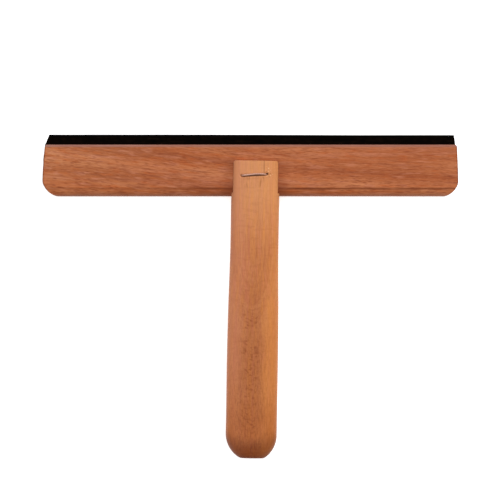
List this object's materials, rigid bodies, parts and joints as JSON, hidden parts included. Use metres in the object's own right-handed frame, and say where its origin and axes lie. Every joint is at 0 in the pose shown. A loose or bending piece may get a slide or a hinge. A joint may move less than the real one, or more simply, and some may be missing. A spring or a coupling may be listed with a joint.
{
  "type": "window cleaning squeegee",
  "caption": "Wooden window squeegee: a moulded beech bar with a rubber wiping strip in its edge, and a swelling beech handle let into its front, glued and stapled.",
  "frame": {"origin": "centre of the bar's flat back face, midway along the bar and midway between its lower and wiping edges", "axes": "+X along the bar, to the right when the front is seen with the rubber at the top; +Y across the bar towards the wiping edge; +Z out of the front face, where the handle and staple show"},
  "size_m": [0.3, 0.2339, 0.0209],
  "materials": {
    "bar_beech": "oiled, worn smooth",
    "handle_beech": "oiled, worn smooth",
    "rubber": "matte",
    "wire_steel": "dull, tarnished",
    "wood_glue": "set glue"
  },
  "bodies": {
    "root": {"head_bar": "bar_beech", "rubber_blade": "rubber", "blade_brads": "wire_steel", "handle": "handle_beech", "glue_film": "wood_glue", "crown_staple": "wire_steel"}
  },
  "joints": []
}
